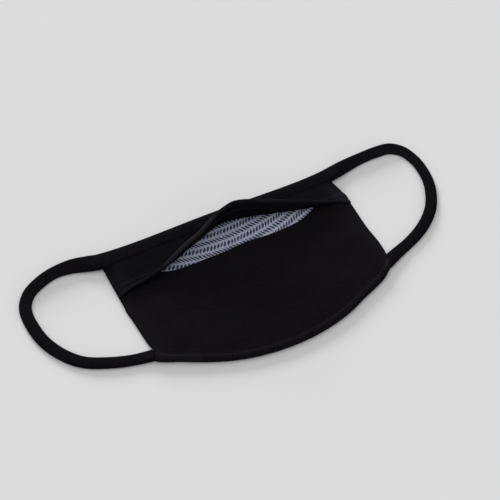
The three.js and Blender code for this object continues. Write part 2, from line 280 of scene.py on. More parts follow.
class Shader:
    """A material with one Principled shader, and what feeds it."""

    def __init__(self, name, **fixed):
        self.material = bpy.data.materials.new(name)
        self.material.use_nodes = True
        self.tree = self.material.node_tree
        self.surface = self.tree.nodes["Principled BSDF"]
        for socket, value in fixed.items():
            self.surface.inputs[socket.replace("_", " ")].default_value = value
        place = self.node("ShaderNodeUVMap", uv_map="cloth")
        split = self.node("ShaderNodeSeparateXYZ", {0: place.outputs[0]})
        self.place = place.outputs[0]
        self.x, self.y = (Field(self, split.outputs[k]) for k in (0, 1))

    def node(self, kind, inputs=(), **settings):
        """A node with its settings, and then the values or links of its sockets."""
        node = self.tree.nodes.new(kind)
        for setting, value in settings.items():
            setattr(node, setting, value)
        for socket, value in dict(inputs).items():
            self.feed(node.inputs[socket], value)
        return node

    def feed(self, socket, value):
        value = value.socket if isinstance(value, Field) else value
        if isinstance(value, bpy.types.NodeSocket):
            self.tree.links.new(value, socket)
        else:
            socket.default_value = value

    def noise(self, scale, detail=2.0, stretch=(1, 1)):
        """Noise over the cloth's own coordinates. scale is in cycles a millimetre."""
        factor = (scale * stretch[0], scale * stretch[1], scale)
        where = self.node("ShaderNodeVectorMath", {0: self.place, 1: factor}, operation="MULTIPLY")
        node = self.node("ShaderNodeTexNoise", {"Vector": where.outputs[0], "Scale": 1.0, "Detail": detail})
        return Field(self, node.outputs[0])

    def blend(self, share, a, b):
        """The colour a where share is 0, and b where it is 1."""
        node = self.node("ShaderNodeMix", {0: share, 6: a, 7: b}, data_type="RGBA")
        return node.outputs[2]

    def finish(self, colour, height, depth):
        """Feeds the surface its colour and a bump of that height over that depth in metres."""
        bump = self.node("ShaderNodeBump", {"Height": height, "Distance": depth, "Strength": 1.0})
        self.feed(self.surface.inputs["Normal"], bump.outputs[0])
        self.feed(self.surface.inputs["Base Color"], colour)
        return self.material


BLACK = (0.0060, 0.0051, 0.0065)
PALE_BLACK = (0.0240, 0.0220, 0.0250)
DEEP_SHARE, BRIGHT_SHARE = 0.6, 1.5
KNIT_DEPTH = 0.16 * mm
LINT = (0.022, 0.021, 0.020)
LINT_SPACING = 26
LINT_SPECK = (0.008, 0.015)
LINT_RARITY = 0.7
LINT_STRENGTH = 0.8


def jersey(name, tone=1.0, wale=0.62, course=0.5, pale=None):
    """Black jersey: wales of small leaning stitches, soft mottling, and a few specks of lint. pale gives the
    share by which the colour is mixed towards PALE_BLACK: painted highlight and painted light on the flap and
    the lining, paler zones elsewhere.
    """
    knit = Shader(name, Roughness=0.9, Specular_IOR_Level=0.02)
    across = (knit.x / wale).part() - 0.5
    lean = across.size() * 2
    leaf = ((knit.y / course + lean * 0.5) * (2 * np.pi)).sine() * 0.5 + 0.5
    ridge = (lean * np.pi).sine()
    stitch = leaf * 0.55 + ridge * 0.45
    mottle = knit.noise(0.9, 3.0, (1.0, 0.45)) * 0.75 + knit.noise(0.11, 2.0) * 0.25
    shade = (mottle + stitch * 0.3).ramp(0.38, 0.86)
    dark = tuple(DEEP_SHARE * tone * c for c in BLACK) + (1,)
    light = tuple(BRIGHT_SHARE * tone * c for c in BLACK) + (1,)
    colour = knit.blend(shade, dark, light)
    # The pale share mixes in PALE_BLACK: on the flap and the lining's upper middle it is painted highlight
    # and painted light.
    if pale is not None:
        colour = knit.blend(pale(knit), colour, PALE_BLACK + (1,))
    spread = {"Vector": knit.place, "Scale": 1 / LINT_SPACING, "Randomness": 1.0}
    lint = knit.node("ShaderNodeTexVoronoi", spread)
    few = knit.node("ShaderNodeSeparateColor", {0: lint.outputs["Color"]})
    near = 1 - Field(knit, lint.outputs["Distance"]).ramp(*LINT_SPECK)
    speck = near * (Field(knit, few.outputs[0]) > LINT_RARITY)
    colour = knit.blend(speck * LINT_STRENGTH, colour, LINT + (1,))
    return knit.finish(colour, stitch * 0.55 + mottle * 0.6, KNIT_DEPTH)


# Where the panels are made paler, and by how much: towards both side edges, and, as painted light over the
# flap's shadow, in the middle of the lining's upper part. A pair of numbers is where a change starts and
# where it
# ends, in millimetres: in from the side edge, up the cloth, and out from the middle.
SIDE_PALER = (19, 1)
LEFT_PALER, RIGHT_PALER = 0.08, 0.14
PAINTED_LIGHT_UP = (40, 90)
PAINTED_LIGHT_OUT = (30, 80)
PAINTED_LIGHT_SHARE = 0.07


def side_pale(knit):
    """Both sides, paler towards their edges."""
    start, full = (half_width / mm - inward for inward in SIDE_PALER)
    return knit.x.ramp(start, full) * RIGHT_PALER + (0 - knit.x).ramp(start, full) * LEFT_PALER


def panel_pale(knit):
    """The sides, and painted light on the middle of the lining's upper part, where the flap casts its shadow.
    """
    wear_and_painted_light = knit.y.ramp(*PAINTED_LIGHT_UP) * (1 - knit.x.size().ramp(*PAINTED_LIGHT_OUT))
    return side_pale(knit) + wear_and_painted_light * PAINTED_LIGHT_SHARE


panel_jersey = jersey("panel_jersey", 0.91, pale=panel_pale)

rows = steps(90, SHELL_LENGTH, SHELL_CLOTH / 2)
x = mix(-half_width, half_width, steps(140, 2 * half_width, SHELL_CLOTH / 2))[:, None]
y = mix(chin_edge(x) + HEM_TURN, nose_edge(x) - BAND_TURN, rows[None, :])
inward = np.minimum(band_mouth_y - y, y - hem_mouth(x))
shell_lift = SHELL_LIFT * (1 - ease(inward / RISE_LENGTH))
shell_rise = SHELL_LOOSE + waves(SLOW_WAVES, x, y) * SHELL_WAVE_SHARE
shell_middle = strayed(x, y, SHELL_CLOTH / 2 + shell_lift + shell_rise)
shell = cloth("outer_shell_cloth", shell_middle, SHELL_CLOTH, panel_jersey)
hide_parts("outer_shell")

# The printed layer: a plain-woven cotton lining, pale, printed with rows of small slate-blue leaves.
# It is sewn in with the nose edge and lies loose on the shell; it shows only where the pocket is open.
PRINT_CLOTH = 0.7 * mm
PRINT_LENGTH = 128 * mm
PRINT_GAP = 0.3 * mm
PRINT_FOLDS = [
    {"length": 46 * mm, "turn": 64, "start": 0.6, "height": 0.30 * mm},
    {"length": 31 * mm, "turn": 118, "start": 2.4, "height": 0.20 * mm},
    {"length": 17 * mm, "turn": 20, "start": 1.0, "height": 0.08 * mm},
]
print_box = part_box("printed_layer")
print_side = print_box[1].x
print_inset = print_box[0].y - hem_mouth(0)
LEAF_ROW = 6.5
LEAF_PITCH = 3.0
LEAF_LEAN = np.radians(32)
LEAF_HALF_LENGTH = 3.3
LEAF_HALF_WIDTH = 0.95
LEAF_BORDER = (-0.12, 0.16)
PRINT_WAVER = 1.6
YARN_PITCH = 0.42
WEAVE_DEPTH = 0.07 * mm
DEEP_LAVENDER, LAVENDER = (0.52, 0.54, 0.74, 1), (0.63, 0.65, 0.83, 1)
DEEP_SLATE_BLUE, SLATE_BLUE = (0.009, 0.013, 0.042, 1), (0.018, 0.026, 0.08, 1)
PRINT_LOOSE = 0.35 * mm
PRINT_LOOSE_SHARE = 0.7
PRINT_CALM = 12 * mm


def printed_cotton():
    """Leaves in a zigzag: the rows lean to the right and to the left by turns. A leaf's outline is a parabola
    on each side of its axis, and the print wavers a little, as a hand-cut block prints.
    """
    cotton = Shader("printed_cotton", Roughness=0.85, Sheen_Weight=0.05, Specular_IOR_Level=0.2)
    waver_x = cotton.x + (cotton.noise(0.21, 1.0) - 0.5) * PRINT_WAVER
    waver_y = cotton.y + (cotton.noise(0.17, 1.0, (1, 1.3)) - 0.5) * PRINT_WAVER
    row = (waver_y / LEAF_ROW).floor()
    side = 1 - ((row / 2).part() > 0.25) * 2
    up = waver_y - (row + 0.5) * LEAF_ROW
    upright = waver_x - side * up * np.tan(LEAF_LEAN)
    off = ((upright / LEAF_PITCH).part() - 0.5) * LEAF_PITCH
    along = off * side * np.sin(LEAF_LEAN) + up * (1 / np.cos(LEAF_LEAN))
    away = off.size() * np.cos(LEAF_LEAN)
    share = along / LEAF_HALF_LENGTH
    leaf = (1 - share * share) * LEAF_HALF_WIDTH - away
    wear_and_painted_light = cotton.noise(2.2, 2.0) * 0.3 + 0.78
    ground = cotton.blend(cotton.noise(0.05, 2.0), DEEP_LAVENDER, LAVENDER)
    blue = cotton.blend(cotton.noise(0.5, 2.0), DEEP_SLATE_BLUE, SLATE_BLUE)
    colour = cotton.blend((leaf.ramp(*LEAF_BORDER) * wear_and_painted_light).least(1), ground, blue)
    warp = (waver_x * (2 * np.pi / YARN_PITCH)).sine()
    weft = (waver_y * (2 * np.pi / YARN_PITCH)).sine()
    return cotton.finish(colour, warp * weft * 0.5 + cotton.noise(0.7, 3.0), WEAVE_DEPTH)


cotton = printed_cotton()

rows = steps(84, PRINT_LENGTH, PRINT_CLOTH / 2)
x = mix(-print_side, print_side, steps(150, 2 * print_side, PRINT_CLOTH / 2))[:, None]
y = mix(hem_mouth(x) + print_inset, nose_edge(x) - BAND_TURN, rows[None, :])
lift = SHELL_LIFT * (1 - ease((band_mouth_y - y) / RISE_LENGTH))
loose = PRINT_LOOSE + waves(PRINT_FOLDS, x, y) * ease((band_mouth_y - y) / PRINT_CALM)
loose = np.maximum(loose, 0) * PRINT_LOOSE_SHARE * ease((band_mouth_y - y) / RISE_LENGTH)
print_z = lift + SHELL_CLOTH + PRINT_GAP + PRINT_CLOTH / 2 + loose
print_middle = strayed(x, y, print_z)
printed = cloth("printed_cotton_layer", print_middle, PRINT_CLOTH, cotton)
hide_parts("printed_layer")

# The lower panel of the lining: black jersey from the chin hem to the pocket, sewn down at both side edges.
# Its upper edge is a plain fold that gapes a little, dips in the middle and runs in under the flap.
LINING_CLOTH = 0.95 * mm
LINING_LENGTH = 112 * mm
LINING_UNDER = 2.6 * mm
HEMMED_LINING = 2.65 * mm
HEM_SLOPE = 9 * mm
POCKET_DIP = 33.8 * mm
POCKET_TUCK = 11.8 * mm
POCKET_HALF_LENGTH = 77 * mm
POCKET_GAPE = 2.2 * mm
POCKET_FOLD = 1.4 * mm
POCKET_FOLD_WIDTH = 3 * mm
POCKET_WAVE = 0.45 * mm
POCKET_WAVE_LENGTH = 43 * mm
LINING_SWELL = 1.6 * mm
LINING_WAVE_SHARE = 1.5
CALM_FROM_HEM = 14 * mm
CALM_FROM_FOLD = 20 * mm
SEWN_LINING = 1.75 * mm
SEAM_SLOPE = 12 * mm
SIDE_TURN = 8.5 * mm
SIDE_TURN_STEP = 1.6 * mm
SEWN_RISE = 4 * mm
TURNED_RELIEF = 0.28 * mm
TURNED_RISE = 3 * mm
PUCKER_PITCH = 5.3 * mm
SECOND_PITCH = 1.73
PUCKER_HEIGHT = 0.11 * mm
PUCKER_REACH = 6 * mm
PUCKER_RISE = 1.5 * mm


def pocket_edge(x):
    """A dip whose ends rise with the fifth power of the way along the pocket, with a slight wave in it."""
    share = np.minimum(1, np.abs(x) / POCKET_HALF_LENGTH)
    wave = POCKET_WAVE * np.sin(2 * np.pi * x / POCKET_WAVE_LENGTH + 0.4) * (1 - share**2)
    return band_mouth_y - POCKET_DIP + POCKET_TUCK * share**5 + wave


def puckers(along, away):
    """Small gathers that fade away from a seam, of two wavelengths so that they don't repeat."""
    turn = 2 * np.pi * along / PUCKER_PITCH
    beat = np.sin(turn) + 0.7 * np.sin(turn / SECOND_PITCH + 1)
    return PUCKER_HEIGHT * beat * np.exp(-np.maximum(away, 0) / PUCKER_REACH)


def pinch(x):
    """From 0 well inside the side edges to 1 at them, where all the layers are sewn together."""
    return ease((np.abs(x) - (half_width - SEAM_SLOPE)) / SEAM_SLOPE)


def turned_side(x):
    """1 over the seam allowance that is turned under along each side edge, and 0 inside it."""
    return ease((np.abs(x) - (half_width - SIDE_TURN)) / SIDE_TURN_STEP)


rows = steps(118, LINING_LENGTH, LINING_CLOTH / 2)
x = mix(-half_width, half_width, steps(220, 2 * half_width, LINING_CLOTH / 2))[:, None]
y = mix(chin_edge(x) + HEM_TURN, pocket_edge(x), rows[None, :])
from_hem = y - hem_mouth(x)
up = np.clip(from_hem / (band_mouth_y - POCKET_DIP - hem_mouth(x)), 0, 1)
hump = LINING_SWELL * np.cos(np.pi * x / (2 * half_width)) * np.sin(np.pi * up) ** 2
gape = POCKET_GAPE * ease(1 - np.abs(x) / POCKET_HALF_LENGTH) * up**4
calm = ease(from_hem / CALM_FROM_HEM) * (1 - pinch(x)) * ease((pocket_edge(x) - y) / CALM_FROM_FOLD + 0.45)
lining_z = mix(HEMMED_LINING, LINING_UNDER + LINING_CLOTH / 2, ease(from_hem / HEM_SLOPE))
lining_z = lining_z + hump + gape + waves(SLOW_WAVES, x, y) * LINING_WAVE_SHARE * calm
lining_z = lining_z + puckers(x, from_hem) * (1 - pinch(x)) * ease(from_hem / PUCKER_RISE)
lining_z = mix(lining_z, SEWN_LINING, pinch(x) * ease(from_hem / SEWN_RISE))
lining_middle = strayed(x, y, lining_z)
fold_swell = 1 - ease((pocket_edge(x) - y) / POCKET_FOLD_WIDTH)
lining_thick = mix(LINING_CLOTH, POCKET_FOLD, fold_swell * ease(1.2 - np.abs(x) / POCKET_HALF_LENGTH))
lining_relief = TURNED_RELIEF * turned_side(x) * ease(from_hem / TURNED_RISE)
lining = cloth("lower_lining_cloth", lining_middle, lining_thick, panel_jersey, lining_relief)
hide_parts("lower_lining")

# The pocket flap: the upper panel of the lining, sewn in at the nose edge, with a hem along its free edge.
# It lies flat from the nose band, then bends up to its free edge, highest where the pocket is held open.
FLAP_CLOTH = 0.9 * mm
FLAP_UNDER = 3.9 * mm
BANDED_FLAP_UNDER = 3.15 * mm
FLAP_WIDTH = 33 * mm
FLAP_HEM = 9.6 * mm
FLAP_HEM_CLOTH = 1.5 * mm
HEM_STEP = 0.8 * mm
BEAD_WIDTH = 1.9 * mm
BEAD_STEP = 1.1 * mm
BEAD_RELIEF = 0.6 * mm
BEAD_GROWTH = 50 * mm
BEAD_PLUMP = -45 * mm
PLUMP_REACH = 30 * mm
PLUMP_SHARE = 0.3
ROLL_RELIEF = 0.9 * mm
ROLL_AT = 2.8 * mm
ROLL_REACH = 2.3 * mm
HEM_RIDGE = 0.9 * mm
RIDGE_REACH = 0.9 * mm
ROLL_FADE_START = 20 * mm
ROLL_FADE_LENGTH = 30 * mm
ROLL_FADE_SHARE = 0.8
FLAP_CURL = 0.3
FLAP_RAISED = 4 * mm
SEWN_FLAP = 2.75 * mm
SEWN_FLAP_SLOPE = 5 * mm
OVER_LINING_STEP = 3 * mm
STIR_START = 8 * mm
STIR_GROWTH = 10 * mm
LYING_DIP = 0.05 * mm
FLAP_EDGE = [
    {"at": -1.0, "lie": 0.95, "drop": 1.15, "up": 0.0, "tilt": 0},
    {"at": -0.83, "lie": 0.93, "drop": 1.05, "up": 0.11, "tilt": 55},
    {"at": -0.7, "lie": 0.87, "drop": 0.96, "up": 0.2, "tilt": 80},
    {"at": -0.57, "lie": 0.74, "drop": 0.86, "up": 0.31, "tilt": 80},
    {"at": -0.38, "lie": 0.5, "drop": 0.7, "up": 0.5, "tilt": 77},
    {"at": -0.25, "lie": 0.32, "drop": 0.57, "up": 0.61, "tilt": 80},
    {"at": -0.12, "lie": 0.14, "drop": 0.41, "up": 0.71, "tilt": 87},
    {"at": 0.0, "lie": 0.09, "drop": 0.29, "up": 0.75, "tilt": 93},
    {"at": 0.1, "lie": 0.13, "drop": 0.23, "up": 0.74, "tilt": 99},
    {"at": 0.25, "lie": 0.23, "drop": 0.33, "up": 0.67, "tilt": 103},
    {"at": 0.4, "lie": 0.4, "drop": 0.46, "up": 0.54, "tilt": 103},
    {"at": 0.62, "lie": 0.63, "drop": 0.65, "up": 0.34, "tilt": 98},
    {"at": 0.82, "lie": 0.75, "drop": 0.81, "up": 0.18, "tilt": 78},
    {"at": 1.0, "lie": 0.9, "drop": 1.02, "up": 0.0, "tilt": 0},
]
FLAP_WAVES = [
    {"length": 52 * mm, "turn": 12, "start": 0.9, "height": 0.30 * mm},
    {"length": 34 * mm, "turn": -28, "start": 2.9, "height": 0.20 * mm},
    {"length": 21 * mm, "turn": 40, "start": 5.0, "height": 0.10 * mm},
]


def through(rows, column, at, places="at"):
    """A smooth curve through a column of a table: a cubic between each two rows, with the slope at a row
    taken from its neighbours.
    """
    where = np.array([row[places] for row in rows], dtype=float)
    value = np.array([row[column] for row in rows], dtype=float)
    slope = np.empty_like(value)
    slope[1:-1] = (value[2:] - value[:-2]) / (where[2:] - where[:-2])
    slope[[0, -1]] = (value[[1, -1]] - value[[0, -2]]) / (where[[1, -1]] - where[[0, -2]])
    k = np.clip(np.searchsorted(where, at) - 1, 0, len(where) - 2)
    span = where[k + 1] - where[k]
    t = (at - where[k]) / span
    start = value[k] * (1 + 2 * t) + slope[k] * span * t
    end = value[k + 1] * (3 - 2 * t) - slope[k + 1] * span * (1 - t)
    return start * (1 - t) ** 2 + end * t**2


def flap_under_side(x, rise, lie, sewn):
    """The flap's under side in y and z, from the free edge to inside the nose band. Its rise is a cubic
    Bezier from the free edge, at the row's tilt, to the fold, where it is level; the rest lies flat.
    """
    read = {column: through(FLAP_EDGE, column, x / half_width) for column in FLAP_EDGE[0]}
    edge_y = band_mouth_y - read["drop"] * FLAP_WIDTH
    edge_z = FLAP_UNDER + np.maximum(0, read["up"]) * FLAP_WIDTH
    fold_y = band_mouth_y - read["lie"] * FLAP_WIDTH
    handle = FLAP_CURL * np.hypot(fold_y - edge_y, edge_z - FLAP_UNDER)
    tilt = np.radians(read["tilt"])
    turn_y, turn_z = edge_y + handle * np.cos(tilt), edge_z - handle * np.sin(tilt)
    weights = [(1 - rise) ** 3, 3 * rise * (1 - rise) ** 2, 3 * rise**2 * (1 - rise), rise**3]
    rise_y = sum(w * v for w, v in zip(weights, (edge_y, turn_y, fold_y - handle, fold_y)))
    rise_z = sum(w * v for w, v in zip(weights, (edge_z, turn_z, FLAP_UNDER, FLAP_UNDER)))
    lie_y = mix(fold_y, band_mouth_y, lie)
    sewn_y = mix(band_mouth_y, nose_edge(x) - BAND_TURN, sewn)
    y = np.concatenate([rise_y, lie_y, sewn_y], axis=1)
    z = np.concatenate([rise_z, FLAP_UNDER + 0 * lie_y, FLAP_UNDER + 0 * sewn_y], axis=1)
    return y, z


# Where the flap is made paler, and by how much: a painted highlight along the free edge's fold and on the
# hem's ridge, painted light on the hem and along the edge, and paler zones on the right half. A pair of
# numbers is where a change starts and where it ends, in millimetres along x, or up the cloth from the free
# edge.
FOLD_HIGHLIGHT_UP = (BEAD_WIDTH / mm * 0.7, BEAD_WIDTH / mm * 1.6)
FOLD_LEFT, FOLD_HIGHLIGHT = (-78, -50), 0.9
FOLD_RIGHT, FOLD_FADE = (-40, 70), 0.62
TOP_X, TOP_OUT, TOP_LEAST = 9, (12, 26), 0.25
OPEN_X, OPEN_OUT = 8, (25, 60)
HEM_LIGHT_UP, HEM_PAINTED_LIGHT = (3, 7.5), 0.08
RIDGE_UP, RIDGE_DOWN, RIDGE_HIGHLIGHT = (8.2, 9.4), (10.4, 11.6), 0.16
EDGE_LIGHT_UP, EDGE_PAINTED_LIGHT = (4, 16), 0.03
RIGHT_HALF, RIGHT_HALF_PALER = (0, 104), 0.04
RIGHT_CORNER, RIGHT_CORNER_PALER = (88, 103), 0.14


def flap_pale(knit):
    """Painted highlight on the free edge's fold, most at the left and least at its top; painted light on the
    hem and a painted highlight on its ridge, where the pocket is held open; painted light on a little of the
    cloth all along the edge; paler over the right half, most at its corner; and both sides.
    """
    fold = 1 - knit.y.ramp(*FOLD_HIGHLIGHT_UP)
    held = knit.x.ramp(*FOLD_LEFT) * (FOLD_HIGHLIGHT - knit.x.ramp(*FOLD_RIGHT) * FOLD_FADE)
    away = (knit.x - TOP_X).size().ramp(*TOP_OUT) * (1 - TOP_LEAST) + TOP_LEAST
    opened = 1 - (knit.x - OPEN_X).size().ramp(*OPEN_OUT)
    ridge = (1 - knit.y.ramp(*RIDGE_DOWN)) * knit.y.ramp(*RIDGE_UP)
    hem = (1 - knit.y.ramp(*HEM_LIGHT_UP)) * HEM_PAINTED_LIGHT + ridge * RIDGE_HIGHLIGHT
    edge = (1 - knit.y.ramp(*EDGE_LIGHT_UP)) * EDGE_PAINTED_LIGHT
    right = knit.x.ramp(*RIGHT_HALF) * RIGHT_HALF_PALER + knit.x.ramp(*RIGHT_CORNER) * RIGHT_CORNER_PALER
    return fold * held * away + hem * opened + edge + right + side_pale(knit)


# The flap's jersey is a darker copy of the lining's, tone 0.58 against 0.91: painted shade. Its pale share
# paints highlight and light back on.
flap_jersey = jersey("flap_jersey", 0.58, pale=flap_pale)

x = mix(-half_width, half_width, steps(250, 2 * half_width, FLAP_CLOTH / 2))[:, None]
rise = np.concatenate([[0, 0.003, 0.01, 0.02, 0.034, 0.05], np.linspace(0.07, 1, 50)])[None, :]
lie = np.linspace(0, 1, 30)[None, 1:]
sewn = np.array([0.4, 0.8, 0.93, 0.98, 1.0])[None, :]
y, z = flap_under_side(x, rise, lie, sewn)
raised = ease((z - FLAP_UNDER) / FLAP_RAISED)
over_lining = 1 - ease((y - pocket_edge(x)) / OVER_LINING_STEP)
sewn_z = mix(SEWN_LINING, SEWN_FLAP, over_lining) - FLAP_CLOTH / 2
z = mix(z, sewn_z, pinch(x) * (1 - raised) * ease((band_mouth_y - y) / SEWN_FLAP_SLOPE))
settled = (z - BANDED_FLAP_UNDER) * (1 - ease((band_mouth_y - y) / BAND_OVER))
z = z - np.maximum(settled, 0) * (1 - raised)
flap_under = strayed(x, y, z)
flap_run = run_along(flap_under, 1)
hemmed = 1 - ease((flap_run - FLAP_HEM) / HEM_STEP)
bead = (1 - ease((flap_run - BEAD_WIDTH) / BEAD_STEP)) * ease((x + half_width) / BEAD_GROWTH)
bead = bead * (1 + PLUMP_SHARE * bell(x - BEAD_PLUMP, PLUMP_REACH))
rolled = raised * (1 - ROLL_FADE_SHARE * ease((x - ROLL_FADE_START) / ROLL_FADE_LENGTH))
roll = ROLL_RELIEF * bell(flap_run - ROLL_AT, ROLL_REACH) * rolled
roll = roll + HEM_RIDGE * bell(flap_run - FLAP_HEM, RIDGE_REACH) * rolled
extra = (FLAP_HEM_CLOTH - FLAP_CLOTH) * hemmed + BEAD_RELIEF * bead + roll
flap_thick = FLAP_CLOTH + extra
to_band = run_along(flap_under[:, ::-1], 1)[:, ::-1]
stir = waves(FLAP_WAVES, x, flap_run) * ease((to_band - STIR_START) / STIR_GROWTH) * (1 - pinch(x))
stir = mix(np.maximum(stir, -LYING_DIP), stir, raised)
flap_middle = flap_under + facing(flap_under) * (FLAP_CLOTH / 2 + extra * (0.5 - raised) + stir)[..., None]
flap_relief = TURNED_RELIEF * turned_side(x) * ease((band_inner_y - y) / TURNED_RISE)
flap = cloth("pocket_flap_cloth", flap_middle, flap_thick, flap_jersey, flap_relief)
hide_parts("pocket_flap")

# The nose band: a wide strip of jersey folded over the nose edge and stitched through all the layers.
# It swells softly between its fold and its stitched edge, and the ear loops carry on from its two ends.
BAND_SEAM = 2.6 * mm
BAND_GROOVE = 0.05 * mm
BAND_GROOVE_REACH = 0.9 * mm
BAND_PUCKER_SHARE = 0.5
BAND_RELIEF_LIMIT = 0.1 * mm
BAND_LIP = 0.16 * mm
BAND_LIP_LENGTH = 4 * mm
BAND_TOP = 3.2 * mm
LEG_LENGTH = 11 * mm
BAND_LEG = [
    {"at": 0, "up": 4.9 * mm},
    {"at": 0.25, "up": 5.14 * mm},
    {"at": 0.55, "up": 5.45 * mm},
    {"at": 0.8, "up": 5.65 * mm},
    {"at": 1, "up": 5.55 * mm},
]
band_jersey = jersey("band_jersey", 0.8, 0.7, 0.56)


def folded(x, mouth, fold, leg):
    """The middle surface of a strip folded over an edge, from its upper leg round the fold to its lower leg.
    The upper leg follows a table of heights, the fold is half a circle, and the lower leg is level.
    """
    way = np.sign(fold - mouth)
    low = EDGE_CLOTH / 2
    radius = (leg[-1]["up"] - low) / 2
    length = np.abs(fold - mouth) - radius - low
    share = steps(26, LEG_LENGTH, low)[:-5][None, :]
    share = share / share[0, -1]
    angle = np.linspace(0, np.pi, 22)[None, 1:-1]
    upper_y = mouth + way * length * share
    upper_z = through(leg, "up", share) + 0 * upper_y
    round_y = mouth + way * (length + radius * np.sin(angle))
    round_z = low + radius * (1 + np.cos(angle)) + 0 * round_y
    lower_y = mouth + way * length * share[:, ::-1]
    y = np.concatenate([upper_y, round_y, lower_y], axis=1)
    z = np.concatenate([upper_z, round_z, low + 0 * lower_y], axis=1)
    return strayed(x, y, z)


x = mix(-half_width, half_width, steps(230, 2 * half_width, EDGE_CLOTH / 2))[:, None]
band_middle = folded(x, band_inner_y + 0 * x, nose_edge(x), BAND_LEG)
band_run = run_along(band_middle, 1)
band_thick = mix(BAND_LIP, EDGE_CLOTH, ease(band_run / BAND_LIP_LENGTH))
band_top = band_middle[..., 2] > BAND_TOP
band_groove = BAND_GROOVE * bell(band_run - BAND_SEAM, BAND_GROOVE_REACH)
band_relief = puckers(x, band_run - BAND_SEAM) * BAND_PUCKER_SHARE - band_groove
band_relief = np.where(band_top, np.minimum(band_relief, BAND_RELIEF_LIMIT), 0)
nose_band = cloth("nose_band", band_middle, band_thick, band_jersey, band_relief)
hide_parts("nose_binding")

# The chin hem: the jersey turned narrow over the chin edge and stitched from the wearer's side.
# It rises from a thin inner lip to its fullest short of its fold. Left of its join it is double, and a short
# ridge crosses it near the right corner.
HEM_JOIN_X = -75 * mm
HEM_SEAM = 3.9 * mm
HEM_GROOVE = 0.12 * mm
HEM_GROOVE_REACH = 0.8 * mm
HEM_PUCKER_START = 3 * mm
HEM_PUCKER_SHARE = 0.7
HEM_TOP = 2.2 * mm
HEM_TOP_STEP = 0.6 * mm
DOUBLE_RELIEF = 0.3 * mm
DOUBLE_STEP = 0.9 * mm
DOUBLE_SWELL = 0.2
DOUBLE_SWELL_AT = 4 * mm
DOUBLE_SWELL_REACH = 2 * mm
CORNER_RIDGE = 0.7 * mm
CORNER_RIDGE_AT = 10.5 * mm
CORNER_RIDGE_REACH = 1.1 * mm
HEM_LIP = 0.4 * mm
HEM_LIP_LENGTH = 2.5 * mm
HEM_LEG = [
    {"at": 0, "up": 3.3 * mm},
    {"at": 0.25, "up": 3.62 * mm},
    {"at": 0.5, "up": 3.95 * mm},
    {"at": 0.75, "up": 4.1 * mm},
    {"at": 0.9, "up": 4.03 * mm},
    {"at": 1, "up": 3.85 * mm},
]


# Where the chin band is paler, in millimetres along x, and by how much.
HEM_RIGHT, HEM_RIGHT_PALER = (-60, 60), 0.04
HEM_CORNER, HEM_CORNER_PALER = (90, 94), 0.2
DOUBLE_END, DOUBLE_PALER = (HEM_JOIN_X / mm - 0.4, HEM_JOIN_X / mm + 0.4), 0.14


def hem_pale(knit):
    """Paler towards the right, most at the corner, and over the double part left of the join."""
    right = knit.x.ramp(*HEM_RIGHT) * HEM_RIGHT_PALER + knit.x.ramp(*HEM_CORNER) * HEM_CORNER_PALER
    return right + (1 - knit.x.ramp(*DOUBLE_END)) * DOUBLE_PALER


hem_jersey = jersey("hem_jersey", 0.95, 0.56, 0.7, hem_pale)

x = mix(-half_width, half_width, steps(250, 2 * half_width, EDGE_CLOTH / 2))[:, None]
hem_middle = folded(x, hem_mouth(x), chin_edge(x), HEM_LEG)[:, ::-1]
hem_run = run_along(hem_middle[:, ::-1], 1)[:, ::-1]
hem_top = ease((hem_middle[..., 2] - HEM_TOP) / HEM_TOP_STEP)
double = DOUBLE_RELIEF * (1 - ease((x - HEM_JOIN_X) / DOUBLE_STEP))
double = double * (1 + DOUBLE_SWELL * bell(hem_run - DOUBLE_SWELL_AT, DOUBLE_SWELL_REACH))
groove = -HEM_GROOVE * bell(hem_run - HEM_SEAM, HEM_GROOVE_REACH)
corner = CORNER_RIDGE * bell(x - half_width + CORNER_RIDGE_AT, CORNER_RIDGE_REACH)
gathers = puckers(x, hem_run - HEM_PUCKER_START) * HEM_PUCKER_SHARE
hem_relief = (double + groove + corner + gathers) * hem_top
hem_thick = mix(HEM_LIP, EDGE_CLOTH, ease(hem_run / HEM_LIP_LENGTH))
chin_band = cloth("chin_band", hem_middle, hem_thick, hem_jersey, hem_relief)
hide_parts("chin_hem")

# The ear loops: straps of jersey folded lengthwise into a soft flat band and sewn in at the four corners.
# They lie on the surface, and their face leans towards the chin, most near the nose.
STRAP_WIDTH = 9.8 * mm
STRAP_THICKNESS = 3.2 * mm
STRAP_LEAN = np.radians(40)
STRAP_END = 16 * mm
STRAP_TAPER = 40 * mm
STRAP_END_WIDTH = 9.6 * mm
STRAP_NOSE_HEIGHT = 5.9 * mm
STRAP_CHIN_HEIGHT = 4.3 * mm
STRAP_ROUNDING = 0.75
STRAP_CAP = 0.5 * mm
STRAP_CAP_SHARE = 0.95
STRAP_GAP = 0.05 * mm
STRAP_SIDES = 36
SLOW_PLUMP, SLOW_PLUMP_REACH = 0.05, 23 * mm
QUICK_PLUMP, QUICK_PLUMP_REACH = 0.04, 9.1 * mm
STRAP_PALER_FROM, STRAP_PALER_TO, STRAP_PALER = (10, 40), (60, 100), 0.17
LOOP_REACH = 74 * mm
LEFT_LOOP = [
    {"out": 0, "down": 0},
    {"out": 0.14, "down": -0.028},
    {"out": 0.32, "down": -0.057},
    {"out": 0.52, "down": -0.056},
    {"out": 0.7, "down": -0.015},
    {"out": 0.855, "down": 0.055},
    {"out": 0.948, "down": 0.168},
    {"out": 0.963, "down": 0.33},
    {"out": 0.925, "down": 0.52},
    {"out": 0.82, "down": 0.69},
    {"out": 0.67, "down": 0.82},
    {"out": 0.46, "down": 0.905},
    {"out": 0.25, "down": 0.96},
    {"out": 0, "down": 1},
]
